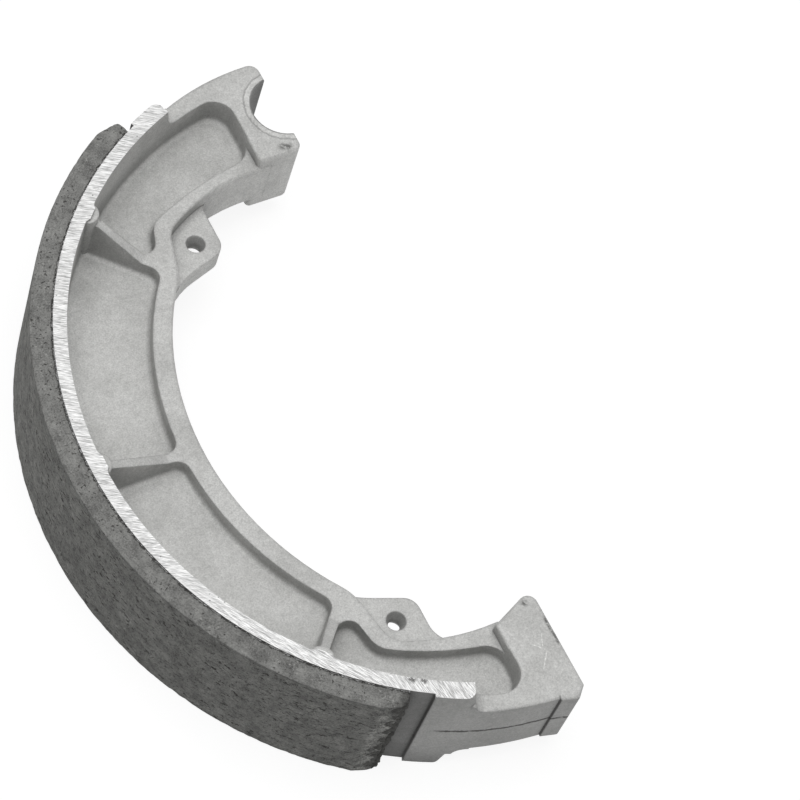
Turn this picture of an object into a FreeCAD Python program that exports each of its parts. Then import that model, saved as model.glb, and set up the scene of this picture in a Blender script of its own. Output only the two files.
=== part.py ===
import FreeCAD, Part
import math
import os

os.makedirs("parts", exist_ok=True)

# A brake shoe for a 160 mm drum: one aluminium casting with a friction lining bonded to its rim.
# The casting is drawn about the drum's centre. The centre line runs from there to the anchor pin, along +Y.
# The origin of the finished part is the anchor pin's axis, at half the shoe's width. Angles run from the
# anchor pin towards the shoe, anticlockwise seen from above: the pin is at 0, the cam near 180. Insets are
# measured inwards from the drum's surface, along a radius or along the centre line.

SIZES = [
    ("drum_radius", 80.0, "outer radius of the lining, which is the drum's own radius"),
    ("shoe_width", 30.0, "width of the rim, along the drum's axis"),
    ("block_width", 17.6, "width of the pin end and the cam end"),
    ("ridge_width", 12.0, "width of the stiffening ridge along the inner edge"),
    ("web_width", 5.0, "thickness of the web and the spring ears"),
    ("edge_rounding", 0.6, "rounding round the tops of the two ends and along the ridge"),

    ("lining_thickness", 4.5, "bonded lining, new"),
    ("lining_margin", 0.25, "the lining stops this far short of each rim edge"),
    ("lining_start", 28.0, "angle of the lining's end by the anchor pin"),
    ("lining_end", 148.8, "angle of the lining's end by the cam"),
    ("lead_in_depth", 1.3, "thickness taken off each end of the lining by its lead-in"),
    ("lead_in_angle", 3.9, "how far round each lead-in reaches"),

    ("rim_thickness", 2.7, "rim at its edge, under the lining"),
    ("seat_step", 0.7, "depth of the turned lining seat below the raw casting"),
    ("seat_start", 27.1, "angle of the shoulder of the lining seat, by the pin"),
    ("seat_end", 152.0, "angle of the shoulder of the lining seat, by the cam"),
    ("rim_start", 21.2, "angle where the full width of the rim ends, by the pin"),
    ("rim_end", 157.9, "angle where the full width of the rim ends, by the cam"),
    ("rim_end_lean", 1.4, "how far the end of the rim leans out on its way down to the arm"),
    ("rim_end_blend", 2.6, "rounding between the end of the rim and the arm"),
    ("rim_outer_corner", 1.9, "rounding of the outer corner of the rim's end"),
    ("rim_inner_corner", 0.8, "rounding of the inner corner of the rim's end"),
    ("rim_foot", 3.0, "angle that the foot of the rim's end takes up on the arm"),
    ("arm_depth", 4.5, "depth of an arm where it laps under the rim"),
    ("arm_lap", 3.0, "angle that an arm laps under the rim"),

    ("pin_inset", 15.0, "inset of the anchor pin's axis"),
    ("pin_seat_radius", 7.1, "half-round seat for a 14 mm anchor pin"),
    ("pin_seat_chamfer", 0.7, "chamfer round the pin seat"),
    ("end_gap", 1.0, "centre line to the end face by the pin"),
    ("pin_end_length", 9.9, "end face to the far side of the pin end's block"),
    ("pin_end_depth", 10.85, "anchor pin's axis to the inner side of the pin end"),
    ("pin_end_rise", 0.4, "how far the end face stands out beyond the raw rim"),
    ("pin_arm_bow", 1.2, "bow of the arm's outer side, by the pin"),
    ("pin_nose", 2.2, "rounding of the pin end's outer corner"),
    ("pin_chin", 1.7, "rounding of the pin end's inner corner"),

    ("cam_face_offset", 4.9, "centre line to the flat that the cam pushes on"),
    ("cam_end_length", 10.2, "cam face to the far side of the cam end's block"),
    ("cam_end_inset", 23.6, "inset of the inner side of the cam end, where the ridge runs into it"),
    ("cam_toe_rise", 4.4, "how far the cam face's toe stands in beyond that side"),
    ("cam_toe_corner", 2.0, "rounding of the toe"),
    ("cam_heel_inset", 3.8, "inset of the cam end's outer corner"),
    ("cam_heel_cut", 2.25, "corner cut off between the cam face and the outer side"),
    ("cam_pad_angle", 171.9, "angle where the cam end's raised outer band starts"),
    ("cam_pad_step", 0.4, "height of the raised band"),
    ("cam_pad_drop", 0.2, "how far the raised band stays below the raw rim"),
    ("cam_arm_bow", 0.34, "bow of the arm's outer side, by the cam"),

    ("ridge_inset", 19.5, "inset of the ridge's inner edge, were it centred on the drum"),
    ("ridge_centre_x", 10.4, "centre of the ridge's inner edge, beside the drum's centre"),
    ("ridge_centre_y", -0.75, "centre of the ridge's inner edge, above the drum's centre"),
    ("ridge_thickness", 4.3, "ridge at the middle of the shoe"),
    ("ridge_swell", 2.9, "how far the centre of the ridge's outer edge lies from that of its inner edge"),
    ("pin_wall_lap", 3.0, "how far the ridge's inner edge starts inside the pin end"),
    ("pin_wall_bow", 2.35, "bow of the ridge between the pin end and its bend"),
    ("pin_bend_out", 4.9, "bend by the pin, outwards from the spring hole"),
    ("pin_bend_along", 2.8, "bend by the pin, from the spring hole towards the pin"),
    ("pin_knee_out", 7.2, "knee by the pin, outwards from the spring hole"),
    ("pin_knee_along", 8.0, "knee by the pin, from the spring hole away from the pin"),
    ("pin_knee_rounding", 10.0, "rounding of the knee by the pin"),
    ("cam_wall_lap", 2.0, "how far the ridge's inner edge ends inside the cam end"),
    ("cam_wall_bow", 1.25, "bow of the ridge between its bend and the cam end"),
    ("cam_bend_out", 4.2, "bend by the cam, outwards from the spring hole"),
    ("cam_bend_along", 4.4, "bend by the cam, from the spring hole towards the cam"),
    ("cam_knee_out", 5.85, "knee by the cam, outwards from the spring hole"),
    ("cam_knee_along", 7.7, "knee by the cam, from the spring hole away from the cam"),
    ("cam_knee_rounding", 12.0, "rounding of the knee by the cam"),
    ("bend_rounding", 5.0, "rounding of the ridge's bends, inside and outside"),

    ("mould_draft", 1.5, "taper of the pocket walls, in degrees"),
    ("pocket_fillet", 1.2, "rounding along the floor of the pockets"),
    ("rib_corner", 1.6, "corner of a pocket between a rib and the rim"),
    ("ridge_corner", 2.5, "corner of a pocket between a rib and the ridge"),
    ("block_corner", 4.4, "corner of a pocket by the pin end or the cam end"),
    ("pin_pocket_shelf", 3.15, "ridge's outer edge from the pin end's inner side, where they meet"),
    ("pin_pocket_out", 7.64, "bend in the pocket by the pin, outwards from the spring hole"),
    ("pin_pocket_along", 5.61, "bend in the pocket by the pin, from the spring hole towards the pin"),
    ("pin_pocket_foot", 1.63, "ridge by the first rib, beyond its main curve"),
    ("cam_pocket_shelf", 2.8, "ridge's outer edge from the cam end's inner side, where they meet"),
    ("cam_pocket_out", 7.6, "bend in the pocket by the cam, outwards from the spring hole"),
    ("cam_pocket_along", 4.88, "bend in the pocket by the cam, from the spring hole towards the cam"),
    ("cam_pocket_foot", 0.26, "ridge by the last rib, beyond its main curve"),
    ("pocket_bow", 1.2, "bow of the ridge's outer edge in both end pockets"),

    ("rib_pitch", 45.0, "angle between the ribs, and from the pin to the first"),
    ("rib_thickness", 2.3, "rib at the web"),
    ("rib_top", 12.4, "height of each rib where it meets its ejector boss"),
    ("rib_1_foot", 4.3, "the first rib starts to climb this far beyond the ridge's main curve"),
    ("rib_2_foot", 3.1, "the same, second rib"),
    ("rib_3_foot", 3.6, "the same, third rib"),
    ("boss_radius", 2.5, "ejector boss at the outer end of each rib"),
    ("boss_top", 14.4, "height of the ejector bosses"),
    ("boss_set", 0.6, "axis of a boss, outwards from the rim's inner wall"),

    ("pin_ear_inset", 27.0, "inset of the spring hole by the pin"),
    ("pin_ear_angle", 33.9, "angle of the spring hole by the pin"),
    ("pin_ear_side", 5.05, "spring hole to the side of its ear, by the pin"),
    ("pin_ear_edge", 4.6, "spring hole to the slanting edge of its ear, by the pin"),
    ("pin_ear_slant", 17.4, "angle of that edge to the shoe's width across the centre line"),
    ("pin_ear_blend", 1.8, "rounding between that ear's side and the ridge"),
    ("cam_ear_inset", 24.7, "inset of the spring hole by the cam"),
    ("cam_ear_angle", 146.9, "angle of the spring hole by the cam"),
    ("cam_ear_side", 5.6, "spring hole to the side of its ear, by the cam"),
    ("cam_ear_edge", 4.9, "spring hole to the slanting edge of its ear, by the cam"),
    ("cam_ear_slant", -21.8, "angle of that edge to the shoe's width across the centre line"),
    ("cam_ear_blend", 5.5, "rounding between that ear's side and the ridge"),
    ("ear_corner", 3.3, "rounding of an ear's outer corner"),
    ("ear_foot_blend", 16.0, "rounding between an ear's slanting edge and the ridge"),
    ("ear_lap", 4.0, "how far an ear reaches under the ridge at its ends"),
    ("ear_depth", 10.0, "how far an ear reaches out from its hole, under the ridge"),
    ("spring_mouth_radius", 2.05, "spring hole at the face of its ear"),
    ("spring_throat_radius", 1.25, "spring hole at half its depth"),
    ("spring_throat_length", 1.0, "length of the straight throat"),

    ("overlap", 1.0, "how far joined features run into one another, and cuts run past a face"),
]

doc = FreeCAD.newDocument("brake_shoe")
sheet = doc.addObject("Spreadsheet::Sheet", "Sizes")
for row, (alias, value, meaning) in enumerate(SIZES, start=1):
    sheet.set("A%d" % row, alias)
    sheet.set("B%d" % row, str(value))
    sheet.set("C%d" % row, meaning)
    sheet.setAlias("B%d" % row, alias)
doc.recompute()


def size(alias):
    return float(sheet.get(alias))


# Plan geometry

def point(x, y):
    return FreeCAD.Vector(x, y, 0)


def polar(distance, angle):
    """The place at a distance from the drum's centre, at an angle from the anchor pin."""
    turn = math.radians(90 + angle)
    return point(distance * math.cos(turn), distance * math.sin(turn))


def beside(distance, angle, aside):
    """The place on a radial line, then aside from it, away from the pin."""
    turn = math.radians(180 + angle)
    return polar(distance, angle) + point(aside * math.cos(turn), aside * math.sin(turn))


def left_of_centre(radius, x):
    """How far along the centre line a circle round the drum's centre is, at a distance x beside it."""
    return math.sqrt(radius ** 2 - x ** 2)


def where_line_meets_circle(start, along, centre, radius):
    """Where a line that starts at a place and runs along a direction leaves a circle."""
    along = FreeCAD.Vector(along).normalize()
    reach = (centre - start).dot(along)
    nearest = start + along * reach
    half_chord = math.sqrt(radius ** 2 - (nearest - centre).Length ** 2)
    return nearest + along * half_chord


def where_lines_meet(first, first_through, second, second_through):
    a = first_through - first
    b = second_through - second
    share = (second - first).cross(b).z / a.cross(b).z
    return first + a * share


class Outline:
    """A closed outline of lines and arcs, with its corners rounded."""

    def __init__(self, start):
        self.start = start
        self.sides = []

    def place(self):
        return self.sides[-1]["end"] if self.sides else self.start

    def line(self, end, corner=0.0):
        self.sides.append({"start": self.place(), "end": end, "centre": None, "corner": corner})
        return self

    def arc(self, centre, end, corner=0.0):
        """The shorter arc about a centre."""
        start = self.place()
        left = (start - centre).cross(end - centre).z > 0
        side = {"start": start, "end": end, "centre": centre, "corner": corner, "left": left}
        side["radius"] = (start - centre).Length
        self.sides.append(side)
        return self

    def bow(self, end, rise, corner=0.0):
        """An arc that rises from its chord, to the right of the way it runs when the rise is positive."""
        start = self.place()
        chord = end - start
        radius = (chord.Length ** 2 / 4 + rise ** 2) / (2 * abs(rise))
        right = point(chord.y, -chord.x).normalize() * math.copysign(1, rise)
        return self.arc((start + end) * 0.5 + right * (abs(rise) - radius), end, corner)

    def heading(self, side, place):
        """The direction of a side as it passes a place on it."""
        if side["centre"] is None:
            return (side["end"] - side["start"]).normalize()
        spoke = place - side["centre"]
        turn = 1 if side["left"] else -1
        return point(-spoke.y * turn, spoke.x * turn).normalize()

    def shifted(self, side, amount):
        """A side moved to its left, as a line's two places or as a circle's centre and radius."""
        if side["centre"] is None:
            along = self.heading(side, side["start"])
            left = point(-along.y, along.x) * amount
            return (side["start"] + left, side["end"] + left)
        return (side["centre"], side["radius"] + (-amount if side["left"] else amount))

    def crossings(self, one, other):
        """Every crossing of two shifted sides."""
        lines = [s for s in (one, other) if not isinstance(s[1], float)]
        circles = [s for s in (one, other) if isinstance(s[1], float)]
        if len(lines) == 2:
            return [where_lines_meet(lines[0][0], lines[0][1], lines[1][0], lines[1][1])]
        centre, radius = circles[0]
        if len(lines) == 1:
            start, end = lines[0]
            along = (end - start).normalize()
            foot = start + along * (centre - start).dot(along)
            half = math.sqrt(radius ** 2 - (foot - centre).Length ** 2)
            return [foot + along * half, foot - along * half]
        apart = circles[1][0] - centre
        reach = (apart.Length ** 2 + radius ** 2 - circles[1][1] ** 2) / (2 * apart.Length)
        half = math.sqrt(radius ** 2 - reach ** 2)
        along = FreeCAD.Vector(apart).normalize()
        foot = centre + along * reach
        return [foot + point(-along.y, along.x) * half, foot - point(-along.y, along.x) * half]

    def touch(self, side, centre):
        """Where a rounding with this centre touches a side."""
        if side["centre"] is None:
            along = self.heading(side, side["start"])
            return side["start"] + along * (centre - side["start"]).dot(along)
        return side["centre"] + (centre - side["centre"]).normalize() * side["radius"]

    def curves(self):
        """The lines and arcs of the outline, roundings included."""
        sides = [dict(side) for side in self.sides]
        found = []
        for index, side in enumerate(sides):
            after = sides[(index + 1) % len(sides)]
            corner = self.sides[index]["end"]
            radius = side["corner"]
            if radius:
                before_way = self.heading(side, corner)
                after_way = self.heading(after, corner)
                turn = 1 if before_way.cross(after_way).z > 0 else -1
                places = self.crossings(self.shifted(side, turn * radius), self.shifted(after, turn * radius))
                centre = min(places, key=lambda place: (place - corner).Length)
                side["end"] = self.touch(side, centre)
                after["start"] = self.touch(after, centre)
                middle = centre + (corner - centre).normalize() * radius
                found.append(Part.Arc(side["end"], middle, after["start"]))
        for side in sides:
            if side["centre"] is None:
                found.append(Part.LineSegment(side["start"], side["end"]))
            else:
                half_way = (side["start"] + side["end"]) * 0.5 - side["centre"]
                middle = side["centre"] + half_way.normalize() * side["radius"]
                found.append(Part.Arc(side["start"], middle, side["end"]))
        return found


# Features

def origin_plane(body, role):
    return next(feature for feature in body.Origin.OriginFeatures if feature.Role == role)


def plan_sketch(body, name, curves, height=None):
    """A sketch seen from above, on the middle plane or at a height given as an expression."""
    sketch = body.newObject("Sketcher::SketchObject", name)
    sketch.AttachmentSupport = [(origin_plane(body, "XY_Plane"), "")]
    sketch.MapMode = "FlatFace"
    if height:
        sketch.setExpression("AttachmentOffset.Base.z", height)
    sketch.addGeometry(curves, False)
    doc.recompute()
    return sketch


def upright_sketch(body, name, curves, turn):
    """A sketch that stands on the drum's axis, turned about it by an angle given as an expression."""
    sketch = body.newObject("Sketcher::SketchObject", name)
    sketch.AttachmentSupport = [(origin_plane(body, "XZ_Plane"), "")]
    sketch.MapMode = "FlatFace"
    sketch.AttachmentOffset = FreeCAD.Placement(FreeCAD.Vector(), FreeCAD.Rotation(FreeCAD.Vector(0, 1, 0), 1))
    sketch.setExpression("AttachmentOffset.Rotation.Angle", turn)
    sketch.addGeometry(curves, False)
    doc.recompute()
    return sketch


def section_sketch(body, name, corners, angle):
    """A cross-section of straight sides, standing on the radial line at an angle given as an expression."""
    ends = corners[1:] + corners[:1]
    sides = [Part.LineSegment(point(*start), point(*end)) for start, end in zip(corners, ends)]
    return upright_sketch(body, name, sides, "90 + " + angle)


def pad(body, name, sketch, length):
    feature = body.newObject("PartDesign::Pad", name)
    feature.Profile = sketch
    feature.setExpression("Length", length)
    doc.recompute()
    return feature


def turned(body, kind, name, sketch, angle):
    """A section swept round the drum's axis, added or taken away."""
    feature = body.newObject(kind, name)
    feature.Profile = sketch
    feature.ReferenceAxis = (sketch, ["V_Axis"])
    feature.setExpression("Angle", angle)
    doc.recompute()
    return feature


def hollow(body, name, sketch, length, draft=None):
    """A pocket that opens upwards from its sketch."""
    feature = body.newObject("PartDesign::Pocket", name)
    feature.Profile = sketch
    feature.Reversed = True
    feature.setExpression("Length", length)
    if draft:
        feature.setExpression("TaperAngle", draft)
    doc.recompute()
    return feature


def rounded(body, name, base, edges, radius):
    feature = body.newObject("PartDesign::Fillet", name)
    feature.Base = (base, ["Edge%d" % number for number in edges])
    feature.setExpression("Radius", radius)
    doc.recompute()
    return feature


def edges_on(feature, curves, height):
    """The edges of a shape that lie on an outline's curves at a height."""
    level = 1e-4
    nearby = 0.01
    outline = Part.Compound([curve.toShape() for curve in curves])
    numbers = []
    for number, edge in enumerate(feature.Shape.Edges, start=1):
        box = edge.BoundBox
        if max(abs(box.ZMin - height), abs(box.ZMax - height)) > level:
            continue
        middle = edge.valueAt((edge.FirstParameter + edge.LastParameter) / 2)
        if Part.Vertex(middle.x, middle.y, 0).distToShape(outline)[0] < nearby:
            numbers.append(number)
    return numbers


def whole(body):
    """The upper half and its mirror image make the piece."""
    mirror = body.newObject("PartDesign::Mirrored", "lower_half")
    mirror.TransformMode = "Whole shape"
    mirror.MirrorPlane = (origin_plane(body, "XY_Plane"), [""])
    body.Tip = mirror
    doc.recompute()


# Heights, radii and centres that several features share

half_width = size("shoe_width") / 2
block_half = size("block_width") / 2
ridge_half = size("ridge_width") / 2
web_half = size("web_width") / 2
rib_half = size("rib_thickness") / 2
overlap = size("overlap")
drum_radius = size("drum_radius")
seat_radius = drum_radius - size("lining_thickness")
raw_radius = seat_radius + size("seat_step")
rim_inner = seat_radius - size("rim_thickness")
boss_distance = rim_inner + size("boss_set")
draft_slope = math.tan(math.radians(size("mould_draft")))
pocket_radius = rim_inner - (half_width - web_half) * draft_slope
arm_inner = pocket_radius - size("arm_depth")
drum_centre = point(0, 0)
upwards = FreeCAD.Vector(0, 0, 1)
pin_hole = point(0, drum_radius - size("pin_inset"))
pin_spring_hole = polar(drum_radius - size("pin_ear_inset"), size("pin_ear_angle"))
cam_spring_hole = polar(drum_radius - size("cam_ear_inset"), size("cam_ear_angle"))
rib_places = [size("rib_pitch"), 2 * size("rib_pitch"), 3 * size("rib_pitch")]

# The ridge's inner and outer edges are arcs about centres of their own

ridge_centre = point(size("ridge_centre_x"), size("ridge_centre_y"))
ridge_inner = drum_radius - size("ridge_inset")
pocket_centre = ridge_centre - point(size("ridge_swell"), 0)
ridge_outer = (ridge_inner - size("ridge_swell") + size("ridge_thickness")
               + (ridge_half - web_half) * draft_slope)

# Plan places of the two ends

end_face = -size("end_gap")
pin_block_inner = pin_hole.y - size("pin_end_depth")
pin_block_side = end_face - size("pin_end_length")
cam_face = -size("cam_face_offset")
cam_block_side = cam_face - size("cam_end_length")
cam_block_inner = size("cam_end_inset") - drum_radius

casting = doc.addObject("PartDesign::Body", "shoe_casting")
casting.Label = "shoe_casting"

# Ridge and web: everything inside the rim, as high as the ridge. The ridge's inner edge is an arc that
# bends outwards at each end, to pass behind the spring ears.


def on_ridge(place):
    return ridge_centre + (place - ridge_centre).normalize() * ridge_inner


inner_at_pin = point(pin_block_side + size("pin_wall_lap"), pin_block_inner - size("edge_rounding") / 2)
inner_pin_bend = pin_spring_hole + point(-size("pin_bend_out"), size("pin_bend_along"))
inner_pin_knee = on_ridge(pin_spring_hole + point(-size("pin_knee_out"), -size("pin_knee_along")))
inner_cam_knee = on_ridge(cam_spring_hole + point(-size("cam_knee_out"), size("cam_knee_along")))
inner_cam_bend = cam_spring_hole + point(-size("cam_bend_out"), -size("cam_bend_along"))
inner_at_cam = point(cam_block_side + size("cam_wall_lap"), cam_block_inner + 1.5 * overlap)


def inner_edge():
    """An outline that starts along the ridge's inner edge, from the pin to the cam."""
    outline = Outline(inner_at_pin)
    outline.bow(inner_pin_bend, size("pin_wall_bow"), size("bend_rounding"))
    outline.line(inner_pin_knee, size("pin_knee_rounding"))
    outline.arc(ridge_centre, inner_cam_knee, size("cam_knee_rounding"))
    outline.line(inner_cam_bend, size("bend_rounding"))
    outline.bow(inner_at_cam, size("cam_wall_bow"))
    return outline


ridge_plan = inner_edge()
pin_wall, _, middle_wall, _, cam_wall = ridge_plan.sides
under_rim = pocket_radius + overlap
ridge_plan.line(point(cam_block_side + size("cam_wall_lap") + 4 * overlap,
                      -left_of_centre(under_rim, cam_block_side + size("cam_wall_lap") + 4 * overlap)))
ridge_plan.arc(drum_centre, polar(under_rim, 90))
ridge_plan.arc(drum_centre, point(inner_at_pin.x, left_of_centre(under_rim, inner_at_pin.x)))
ridge_plan.line(inner_at_pin)
ridge = pad(casting, "ridge", plan_sketch(casting, "ridge_plan", ridge_plan.curves()), "Sizes.ridge_width / 2")
inner_curves = inner_edge().line(inner_at_cam - point(0, overlap)).curves()
rounded(casting, "ridge_edge", ridge, edges_on(ridge, inner_curves, ridge_half), "Sizes.edge_rounding")

# Pin end: a block with an arm that runs under the rim

arm_start = size("rim_start") + size("arm_lap")
foot_start = size("rim_start") - size("rim_foot")
pin_block = Outline(point(end_face, pin_block_inner))
pin_block.line(point(pin_block_side, pin_block_inner), overlap)
pin_block.line(point(pin_block_side, left_of_centre(arm_inner, pin_block_side)))
pin_block.arc(drum_centre, polar(arm_inner, arm_start))
pin_block.line(polar(raw_radius, arm_start))
pin_block.arc(drum_centre, polar(raw_radius, foot_start))
pin_block.bow(point(end_face, raw_radius + size("pin_end_rise")), -size("pin_arm_bow"), size("pin_nose"))
pin_block.line(point(end_face, pin_block_inner), size("pin_chin"))
pin_curves = pin_block.curves()
pin_pad = pad(casting, "pin_block", plan_sketch(casting, "pin_block_plan", pin_curves), "Sizes.block_width / 2")
rounded(casting, "pin_block_edge", pin_pad, edges_on(pin_pad, pin_curves, block_half), "Sizes.edge_rounding")

# Cam end: the same, with the cam's flat, a toe that reaches inwards and a raised band outside

arm_end = size("rim_end") - size("arm_lap")
foot_end = size("rim_end") + size("rim_foot")
toe = point(cam_face, cam_block_inner + size("cam_toe_rise"))
heel = point(cam_face - size("cam_heel_cut"), size("cam_heel_inset") - drum_radius)
band_radius = raw_radius - size("cam_pad_drop")
cam_block = Outline(toe)
cam_block.line(point(cam_face, heel.y + size("cam_heel_cut")), size("edge_rounding"))
cam_block.line(heel, size("edge_rounding"))
cam_block.line(polar(band_radius, size("cam_pad_angle")))
cam_block.line(polar(band_radius - size("cam_pad_step"), size("cam_pad_angle")))
cam_block.bow(polar(raw_radius, foot_end), -size("cam_arm_bow"))
cam_block.arc(drum_centre, polar(raw_radius, arm_end))
cam_block.line(polar(arm_inner, arm_end))
cam_block.arc(drum_centre, point(cam_block_side, -left_of_centre(arm_inner, cam_block_side)))
cam_block.line(point(cam_block_side, cam_block_inner))
cam_block.line(toe, size("cam_toe_corner"))
cam_curves = cam_block.curves()
cam_pad = pad(casting, "cam_block", plan_sketch(casting, "cam_block_plan", cam_curves), "Sizes.block_width / 2")
rounded(casting, "cam_block_edge", cam_pad, edges_on(cam_pad, cam_curves, block_half), "Sizes.edge_rounding")

# Rim: a band of the raw casting, turned round the drum's axis, with a foot on each arm

rim_skin = size("edge_rounding") / 2
rim_section = [
    (pocket_radius - rim_skin, 0),
    (raw_radius, 0),
    (raw_radius, half_width),
    (pocket_radius - rim_skin, half_width),
]
rim_sketch = section_sketch(casting, "rim_section", rim_section, "Sizes.rim_start - Sizes.rim_foot")
turned(casting, "PartDesign::Revolution", "rim", rim_sketch,
       "Sizes.rim_end - Sizes.rim_start + 2 * Sizes.rim_foot")


def rim_end(name, angle, away):
    """Cuts the end of the rim down to the arm, seen along a radius: a leaning face with a rounded foot."""
    past = drum_radius * math.radians(4 * size("rim_foot")) * away
    profile = Outline(point(0, half_width + overlap))
    profile.line(point(0, half_width))
    profile.line(point(size("rim_end_lean") * away, block_half), size("rim_end_blend"))
    profile.line(point(past, block_half))
    profile.line(point(past, half_width + overlap))
    profile.line(profile.start)
    sketch = upright_sketch(casting, name + "_profile", profile.curves(), "180 + " + angle)
    hollow(casting, name, sketch, "Sizes.drum_radius")


def rim_corner(name, angle, away, side_radius, radius, inwards):
    """Rounds a corner of the rim's end, following its lean down to the foot's rounding."""
    spoke_angle = angle - math.degrees(radius / side_radius) * away
    spoke = polar(1, spoke_angle)
    along = point(-spoke.y, spoke.x) * away
    start = polar(side_radius, spoke_angle)
    centre = start + spoke * inwards * radius
    touch = centre + along * radius
    middle = centre + (along - spoke * inwards).normalize() * radius
    past_end = touch + along * rim_skin
    past_corner = past_end - spoke * inwards * (radius + rim_skin)
    past_side = start - spoke * inwards * rim_skin
    curves = [Part.Arc(start, middle, touch)]
    for one, next_one in ((touch, past_end), (past_end, past_corner), (past_corner, past_side), (past_side, start)):
        curves.append(Part.LineSegment(one, next_one))
    lean = along * size("rim_end_lean") / (half_width - block_half)
    corner = casting.newObject("PartDesign::Pocket", name)
    corner.Profile = plan_sketch(casting, name + "_plan", curves, "Sizes.shoe_width / 2")
    corner.UseCustomVector = True
    corner.Direction = FreeCAD.Vector(lean.x, lean.y, -1)
    corner.AlongSketchNormal = True
    corner.setExpression("Length", "(Sizes.shoe_width - Sizes.block_width) / 2 - 0.8 * Sizes.rim_end_blend")
    doc.recompute()


for side, away in (("pin", -1), ("cam", 1)):
    angle = size("rim_start") if side == "pin" else size("rim_end")
    rim_end(side + "_rim_end", "Sizes.rim_start" if side == "pin" else "Sizes.rim_end", away)
    rim_corner(side + "_outer_corner", angle, away, raw_radius, size("rim_outer_corner"), -1)
    rim_corner(side + "_inner_corner", angle, away, pocket_radius - rim_skin, size("rim_inner_corner"), 1)

# Ribs: three gussets that climb from the ridge to the ejector bosses


def ridge_at(angle):
    """Distance from the drum's centre to the ridge's outer arc."""
    return where_line_meets_circle(drum_centre, polar(1, angle), pocket_centre, ridge_outer).Length


for number, place in enumerate(rib_places, start=1):
    foot = ridge_at(place) + size("rib_%d_foot" % number)
    level_from = boss_distance - size("boss_radius") - size("boss_set")
    rib_side = [
        (foot, ridge_half - overlap),
        (foot, ridge_half),
        (level_from, size("rib_top")),
        (boss_distance, size("rib_top")),
        (boss_distance, ridge_half - overlap),
    ]
    rib_sketch = section_sketch(casting, "rib_%d_side" % number, rib_side, "%d * Sizes.rib_pitch" % number)
    rib = pad(casting, "rib_%d" % number, rib_sketch, "Sizes.rib_thickness")
    rib.SideType = "Symmetric"
doc.recompute()

# Spring ears: level with the web, each with a straight side and a slanting edge


def ear(name, hole, inwards, bend, end_wall):
    """An ear with its side parallel to the centre line, and an edge that slants off to the ridge."""
    slant = math.radians(size(name + "_slant"))
    along = point(-math.cos(slant), -math.sin(slant))
    away = point(along.y, -along.x) * inwards
    edge = hole - away * size(name + "_edge")
    side = hole + point(size(name + "_side"), 0)
    corner = where_lines_meet(edge, edge + along, side, side + point(0, 1))
    root = where_line_meets_circle(corner, point(0, inwards), end_wall["centre"], end_wall["radius"])
    foot = where_line_meets_circle(corner, along, middle_wall["centre"], middle_wall["radius"])
    to_end = ridge_plan.heading(end_wall, root) * -inwards
    to_middle = ridge_plan.heading(middle_wall, foot) * inwards
    blend = size(name + "_blend")
    plan = Outline(root + to_end * (size("ear_lap") + blend / 2))
    plan.line(root, blend)
    plan.line(corner, size("ear_corner"))
    plan.line(foot, size("ear_foot_blend"))
    plan.line(foot + to_middle * 2 * size("ear_lap"))
    plan.line(hole - point(size("ear_depth"), 0))
    plan.line(bend + (bend - hole))
    plan.line(root + to_end * (size("ear_lap") + blend / 2) - point(size("ear_lap"), 0))
    plan.line(plan.start)
    pad(casting, name, plan_sketch(casting, name + "_plan", plan.curves()), "Sizes.web_width / 2")


ear("pin_ear", pin_spring_hole, 1, inner_pin_bend, pin_wall)
ear("cam_ear", cam_spring_hole, -1, inner_cam_bend, cam_wall)

# Pockets: four on each side, between the rim, the ridge, the ribs and the blocks


def rib_face(number, aside, centre, radius):
    """Where the face of a rib meets a circle."""
    place = rib_places[number - 1]
    return where_line_meets_circle(beside(0, place, aside), polar(1, place), centre, radius)


def middle_pocket(before, after):
    """The outline of a pocket between two ribs."""
    outline = Outline(rib_face(before, rib_half, drum_centre, pocket_radius))
    outline.line(rib_face(before, rib_half, pocket_centre, ridge_outer), size("ridge_corner"))
    outline.arc(pocket_centre, rib_face(after, -rib_half, pocket_centre, ridge_outer), size("ridge_corner"))
    outline.line(rib_face(after, -rib_half, drum_centre, pocket_radius), size("rib_corner"))
    outline.arc(drum_centre, outline.start, size("rib_corner"))
    return outline


pin_shelf = point(pin_block_side, pin_block_inner + size("pin_pocket_shelf"))
pin_pocket_bend = pin_spring_hole + point(-size("pin_pocket_out"), size("pin_pocket_along"))
pin_pocket = Outline(point(pin_block_side, left_of_centre(pocket_radius, pin_block_side)))
pin_pocket.line(pin_shelf, size("block_corner"))
pin_pocket.bow(pin_pocket_bend, size("pocket_bow"), size("bend_rounding"))
pin_pocket.line(beside(ridge_at(rib_places[0]) + size("pin_pocket_foot"), rib_places[0], -rib_half),
                size("ridge_corner"))
pin_pocket.line(rib_face(1, -rib_half, drum_centre, pocket_radius), size("rib_corner"))
pin_pocket.arc(drum_centre, pin_pocket.start, size("block_corner"))

cam_shelf = point(cam_block_side, cam_block_inner - size("cam_pocket_shelf"))
cam_pocket_bend = cam_spring_hole + point(-size("cam_pocket_out"), -size("cam_pocket_along"))
cam_pocket = Outline(rib_face(3, rib_half, drum_centre, pocket_radius))
cam_pocket.line(beside(ridge_at(rib_places[2]) + size("cam_pocket_foot"), rib_places[2], rib_half),
                size("ridge_corner"))
cam_pocket.line(cam_pocket_bend, size("bend_rounding"))
cam_pocket.bow(cam_shelf, size("pocket_bow"), size("block_corner"))
cam_pocket.line(point(cam_block_side, -left_of_centre(pocket_radius, cam_block_side)), size("block_corner"))
cam_pocket.arc(drum_centre, cam_pocket.start, size("rib_corner"))

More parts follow.
